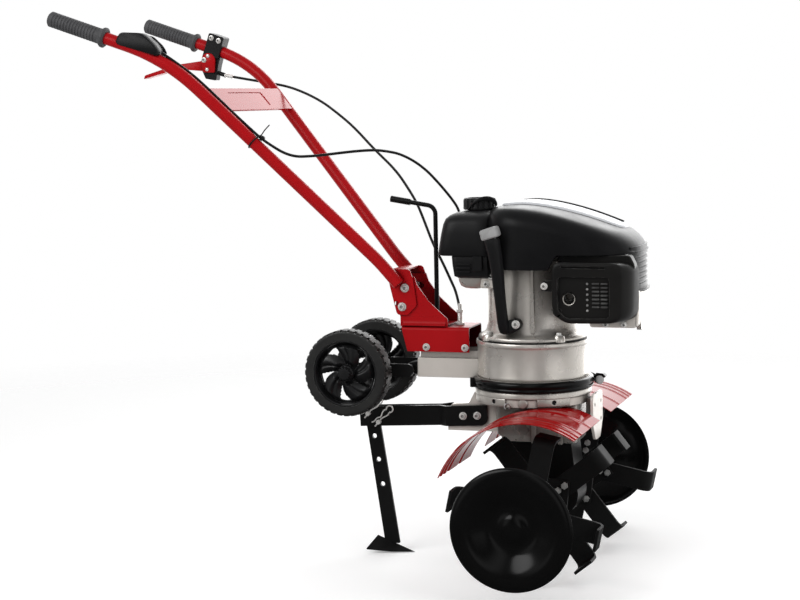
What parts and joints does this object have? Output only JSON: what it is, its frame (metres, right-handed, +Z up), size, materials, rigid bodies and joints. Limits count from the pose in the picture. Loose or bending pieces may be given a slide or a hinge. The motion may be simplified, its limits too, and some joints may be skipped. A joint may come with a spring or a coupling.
{
  "type": "garden tiller",
  "caption": "Petrol garden tiller: red handlebar with clutch and throttle, upright engine over a worm gearbox, bent-blade tines, side discs, depth stake and folding wheels.",
  "frame": {"origin": "on the ground, under the middle of the machine's length and on its centre plane", "axes": "+X forward, +Y to the machine's left, +Z up"},
  "size_m": [1.2595, 0.818, 1.2076],
  "materials": {
    "red_paint": "gloss red powder coat",
    "black_steel": "satin black paint",
    "cast_alloy": "as-cast, lightly grained",
    "zinc": "bright zinc plate",
    "grip_rubber": "matt ribbed rubber",
    "tyre_rubber": "matt black tyre",
    "black_plastic": "fine-grained black plastic",
    "shroud_plastic": "satin black moulding",
    "pale_panel": "pale silver moulding",
    "cable_sheath": "black cable sheath",
    "drive_steel": "machined steel",
    "tine_steel": "semi-gloss black paint",
    "wheel_plastic": "satin black moulding",
    "grey_plastic": "light grey plastic",
    "muffler_steel": "heat-proof satin black",
    "ring_paint": "gloss black paint"
  },
  "bodies": {
    "chassis": {"lower_bracket": "red_paint", "base_channel": "red_paint", "right_mudguard": "red_paint", "left_mudguard": "red_paint", "fuel_tank": "black_plastic", "oil_filler": "black_plastic", "carburettor": "black_plastic", "clutch_cable": "cable_sheath", "throttle_cable": "cable_sheath", "frame_bolts": "zinc", "stake_pins": "zinc", "main_beam": "cast_alloy", "gearbox_neck": "cast_alloy", "clutch_housing": "cast_alloy", "crankcase": "cast_alloy", "cylinder_block": "cast_alloy", "right_drag_bar": "black_steel", "left_drag_bar": "black_steel", "drag_stake": "black_steel", "right_gear_case": "black_steel", "left_gear_case": "black_steel", "clamp_ring": "ring_paint", "engine_shroud": "shroud_plastic", "top_panel": "pale_panel", "muffler": "muffler_steel", "muffler_guard": "muffler_steel"},
    "handlebar": {"right_handle_tube": "red_paint", "left_handle_tube": "red_paint", "right_grip": "grip_rubber", "left_grip": "grip_rubber", "cross_plate": "red_paint", "throttle_housing": "black_plastic", "clutch_bracket": "black_plastic", "handle_bracket": "red_paint", "handlebar_bolts": "zinc"},
    "throttle": {"throttle_lever": "black_plastic"},
    "clutch": {"clutch_lever": "red_paint"},
    "selector": {"selector_lever": "black_steel"},
    "fork": {"wheel_fork": "black_steel"},
    "right_wheel": {"right_wheel_rim": "wheel_plastic", "right_tyre": "tyre_rubber"},
    "left_wheel": {"left_wheel_rim": "wheel_plastic", "left_tyre": "tyre_rubber"},
    "stake_clip": {"stake_clip": "zinc"},
    "stop_clip": {"stop_clip": "zinc"},
    "latch": {"clamp_latch": "grey_plastic"},
    "fuel_cap": {"fuel_cap": "black_plastic"},
    "dipstick": {"dipstick": "grey_plastic"},
    "crank": {"crankshaft": "drive_steel"},
    "worm": {"worm_shaft": "drive_steel"},
    "tines": {"tine_shaft": "drive_steel", "worm_wheel": "drive_steel", "right_tine_hub": "tine_steel", "left_tine_hub": "tine_steel", "right_tine_blades": "tine_steel", "left_tine_blades": "tine_steel", "tine_bolts": "zinc", "right_disc": "tine_steel", "left_disc": "tine_steel"}
  },
  "joints": [
    {"name": "handlebar_tilt", "type": "hinge", "parent": "chassis", "child": "handlebar", "pos_m": [0.10168, 0, 0.55622], "axis": [0, 1, 0], "range_deg": [-10, 10], "deforming": ["clutch_cable", "throttle_cable"]},
    {"name": "throttle_turn", "type": "hinge", "parent": "handlebar", "child": "throttle", "pos_m": [-0.40748, -0.236, 1.13952], "axis": [0, 1, 0], "range_deg": [-25, 12]},
    {"name": "clutch_squeeze", "type": "hinge", "parent": "handlebar", "child": "clutch", "pos_m": [-0.46951, 0.236, 1.107], "axis": [0, 1, 0], "range_deg": [0, 30], "stiffness_Nm_per_rad": 1.5, "springref_deg": -14.32},
    {"name": "selector_turn", "type": "hinge", "parent": "chassis", "child": "selector", "pos_m": [0.16568, 0, 0.55922], "axis": [0, 0, 1], "range_deg": [-25, 25]},
    {"name": "wheel_fold", "type": "hinge", "parent": "chassis", "child": "fork", "pos_m": [0.11168, 0, 0.41723], "axis": [0, 1, 0], "range_deg": [-75, 0]},
    {"name": "right_wheel_spin", "type": "hinge", "parent": "fork", "child": "right_wheel", "pos_m": [-0.00692, -0.104, 0.41723], "axis": [0, 1, 0], "continuous": true},
    {"name": "left_wheel_spin", "type": "hinge", "parent": "fork", "child": "left_wheel", "pos_m": [-0.00692, 0.104, 0.41723], "axis": [0, 1, 0], "continuous": true},
    {"name": "stake_clip_pull", "type": "slide", "parent": "chassis", "child": "stake_clip", "axis": [0.7071, 0, 0.7071], "range_m": [0, 0.03]},
    {"name": "stop_clip_pull", "type": "slide", "parent": "chassis", "child": "stop_clip", "axis": [0.7071, 0, 0.7071], "range_m": [0, 0.03]},
    {"name": "latch_swing", "type": "hinge", "parent": "chassis", "child": "latch", "pos_m": [0.51551, 0.02949, 0.39622], "axis": [0, 0, 1], "range_deg": [-100, 0]},
    {"name": "fuel_cap_turn", "type": "hinge", "parent": "chassis", "child": "fuel_cap", "pos_m": [0.27168, -0.02, 0.75923], "axis": [0, 0, 1], "range_deg": [0, 90]},
    {"name": "dipstick_pull", "type": "slide", "parent": "chassis", "child": "dipstick", "axis": [-0.0669, -0.2213, 0.9729], "range_m": [0, 0.15]},
    {"name": "crank_spin", "type": "hinge", "parent": "chassis", "child": "crank", "pos_m": [0.37968, 0, 0.55922], "axis": [0, 0, 1], "continuous": true},
    {"name": "tine_spin", "type": "hinge", "parent": "chassis", "child": "tines", "pos_m": [0.43168, 0, 0.15923], "axis": [0, 1, 0], "continuous": true},
    {"name": "worm_spin", "type": "hinge", "parent": "chassis", "child": "worm", "pos_m": [0.37968, 0, 0.15923], "axis": [0, 0, 1], "continuous": true}
  ],
  "couplings": [
    {"joint": "worm_spin", "follows": "tine_spin", "ratio": -25}
  ]
}
